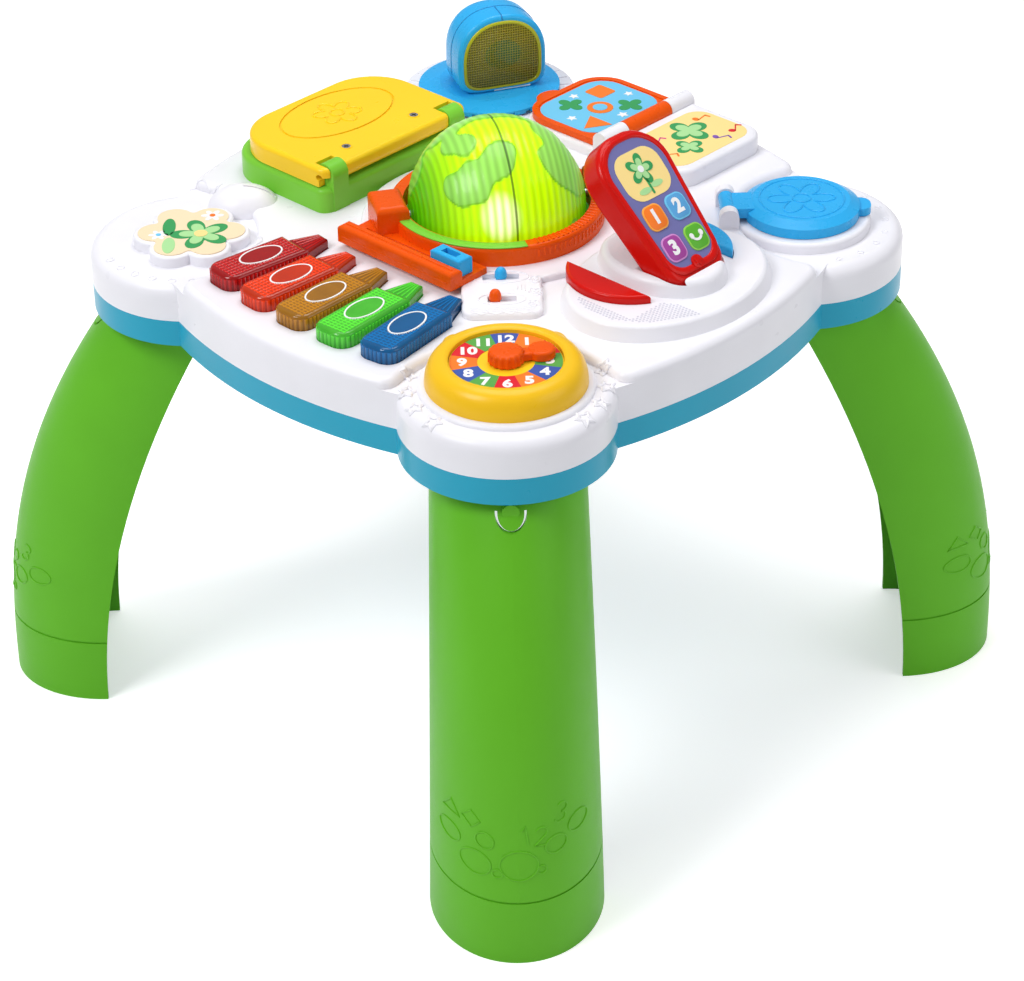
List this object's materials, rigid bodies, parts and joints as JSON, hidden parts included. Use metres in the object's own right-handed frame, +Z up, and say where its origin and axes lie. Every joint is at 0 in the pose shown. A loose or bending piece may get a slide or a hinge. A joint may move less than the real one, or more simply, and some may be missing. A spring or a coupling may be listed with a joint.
{
  "type": "toddler activity table",
  "caption": "Square play table on flared channel legs, with a spinning lit globe, crayon keys, play laptop, flip book, telephone, clock, lamp and lidded dish.",
  "frame": {"origin": "on the floor under the middle of the table", "axes": "+Z up; crayon keys face -Y, telephone +X, flip book +Y, laptop -X; legs on the diagonals"},
  "size_m": [0.4864, 0.4864, 0.402],
  "materials": {
    "white_shell": "moulded white, satin",
    "teal_shell": "moulded teal, satin",
    "leg_green": "blow-moulded green, fine grain",
    "laptop_green": "moulded green, satin",
    "yellow_plastic": "moulded yellow, satin",
    "blue_plastic": "moulded blue, satin",
    "orange_plastic": "moulded orange, satin",
    "red_plastic": "moulded red, glossy",
    "clear_red": "tinted clear, ribbed",
    "clear_orange": "tinted clear, ribbed",
    "clear_yellow": "tinted clear, ribbed",
    "clear_green": "tinted clear, ribbed",
    "clear_blue": "tinted clear, ribbed",
    "globe_lime": "tinted clear, ribbed, lit from inside",
    "lens_amber": "tinted clear, fine grid",
    "printed": "printed label",
    "screen": "printed panel, glossy",
    "steel": "plain steel",
    "board": "solder mask",
    "grey_rubber": "moulded",
    "dark_inner": "unpainted"
  },
  "bodies": {
    "table": {"top_shell": "white_shell", "bottom_shell": "teal_shell", "leg_front_right": "leg_green", "leg_front_left": "leg_green", "leg_rear_right": "leg_green", "leg_rear_left": "leg_green", "circuit_board": "board", "dome_mat": "grey_rubber", "globe_stand": "orange_plastic", "clock_bezel": "yellow_plastic", "clock_dial": "printed", "clock_pin": "steel", "dish_lid_pin": "steel", "laptop_base": "laptop_green", "laptop_keyboard": "white_shell", "laptop_pin": "steel", "book_pin": "steel", "speaker": "dark_inner", "picture_print": "printed", "battery_box": "dark_inner", "battery_cover": "teal_shell", "battery_cells": "steel", "case_screws": "steel"},
    "red_key": {"crayon_red": "clear_red"},
    "orange_key": {"crayon_orange": "clear_orange"},
    "yellow_key": {"crayon_yellow": "clear_yellow"},
    "green_key": {"crayon_green": "clear_green"},
    "blue_key": {"crayon_blue": "clear_blue"},
    "red_button": {"phone_button_red": "red_plastic"},
    "blue_button": {"phone_button_blue": "blue_plastic"},
    "laptop_cover": {"laptop_lid": "yellow_plastic", "laptop_screen": "screen"},
    "page": {"book_page": "orange_plastic"},
    "handset": {"handset_back": "red_plastic", "handset_front": "red_plastic", "handset_panel": "screen"},
    "clock_pointer": {"clock_hand": "orange_plastic"},
    "dish_cover": {"dish_lid": "blue_plastic"},
    "lamp": {"lamp_base": "blue_plastic", "lamp_head": "blue_plastic", "lamp_lens": "lens_amber", "lamp_bulb": "printed"},
    "globe": {"globe_half_left": "globe_lime", "globe_half_right": "globe_lime", "globe_axle": "steel"},
    "slider": {"slider_block": "blue_plastic"},
    "volume_knob": {"volume_switch": "blue_plastic"},
    "language_knob": {"language_switch": "orange_plastic"}
  },
  "joints": [
    {"name": "red_key_press", "type": "slide", "parent": "table", "child": "red_key", "axis": [0, 0, -1], "range_m": [0, 0.003], "stiffness_N_per_m": 400, "springref_m": -0.004},
    {"name": "orange_key_press", "type": "slide", "parent": "table", "child": "orange_key", "axis": [0, 0, -1], "range_m": [0, 0.003], "stiffness_N_per_m": 400, "springref_m": -0.004},
    {"name": "yellow_key_press", "type": "slide", "parent": "table", "child": "yellow_key", "axis": [0, 0, -1], "range_m": [0, 0.003], "stiffness_N_per_m": 400, "springref_m": -0.004},
    {"name": "green_key_press", "type": "slide", "parent": "table", "child": "green_key", "axis": [0, 0, -1], "range_m": [0, 0.003], "stiffness_N_per_m": 400, "springref_m": -0.004},
    {"name": "blue_key_press", "type": "slide", "parent": "table", "child": "blue_key", "axis": [0, 0, -1], "range_m": [0, 0.003], "stiffness_N_per_m": 400, "springref_m": -0.004},
    {"name": "red_button_press", "type": "slide", "parent": "table", "child": "red_button", "axis": [0, 0, -1], "range_m": [0, 0.0025], "stiffness_N_per_m": 300, "springref_m": -0.003},
    {"name": "blue_button_press", "type": "slide", "parent": "table", "child": "blue_button", "axis": [0, 0, -1], "range_m": [0, 0.0025], "stiffness_N_per_m": 300, "springref_m": -0.003},
    {"name": "laptop_hinge", "type": "hinge", "parent": "table", "child": "laptop_cover", "pos_m": [-0.091, 0, 0.341], "axis": [0, 1, 0], "range_deg": [0, 105]},
    {"name": "page_hinge", "type": "hinge", "parent": "table", "child": "page", "pos_m": [-0.008, 0.147, 0.331], "axis": [0, 1, 0], "range_deg": [0, 176]},
    {"name": "handset_lift", "type": "slide", "parent": "table", "child": "handset", "axis": [-0.7071, 0, 0.7071], "range_m": [0, 0.06]},
    {"name": "clock_hand_turn", "type": "hinge", "parent": "table", "child": "clock_pointer", "pos_m": [0.133, -0.133, 0.33], "axis": [0, 0, 1], "continuous": true},
    {"name": "dish_lid_hinge", "type": "hinge", "parent": "table", "child": "dish_cover", "pos_m": [0.10047, 0.10047, 0.3245], "axis": [0.7071, -0.7071, 0], "range_deg": [0, 100]},
    {"name": "lamp_swivel", "type": "hinge", "parent": "table", "child": "lamp", "pos_m": [-0.133, 0.133, 0.32], "axis": [0, 0, 1], "range_deg": [-77, 43]},
    {"name": "globe_spin", "type": "hinge", "parent": "table", "child": "globe", "pos_m": [0, 0, 0.33], "axis": [0.5446, 0.8387, 0], "continuous": true},
    {"name": "slider_slide", "type": "slide", "parent": "table", "child": "slider", "axis": [-1, 0, 0], "range_m": [0, 0.046]},
    {"name": "volume_slide", "type": "slide", "parent": "table", "child": "volume_knob", "axis": [0.7071, 0.7071, 0], "range_m": [-0.006, 0.006]},
    {"name": "language_slide", "type": "slide", "parent": "table", "child": "language_knob", "axis": [0.7071, 0.7071, 0], "range_m": [0, 0.008]}
  ]
}
